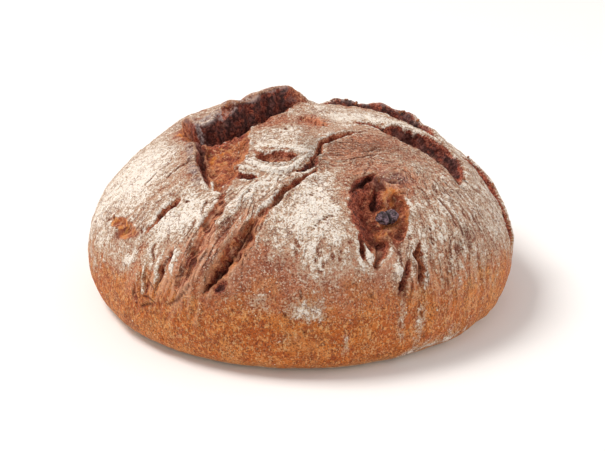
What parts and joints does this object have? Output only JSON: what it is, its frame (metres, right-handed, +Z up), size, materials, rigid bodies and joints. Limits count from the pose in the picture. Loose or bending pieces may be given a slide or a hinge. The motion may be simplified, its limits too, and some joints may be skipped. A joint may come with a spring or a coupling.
{
  "type": "round bread loaf",
  "caption": "Round floured walnut bread loaf with a domed crust torn open over the top and a flat base to rest on.",
  "frame": {"origin": "centre of the flat base that the loaf rests on", "axes": "+Z up through the domed top, -Y towards the front with the long tears, +X to the right as seen from the front"},
  "size_m": [0.2295, 0.2323, 0.1019],
  "materials": {
    "crust": "baked crust, matt, with flour on it",
    "walnut": "roasted nut, satin"
  },
  "bodies": {
    "root": {"loaf": "crust", "walnut_piece": "walnut"}
  },
  "joints": []
}
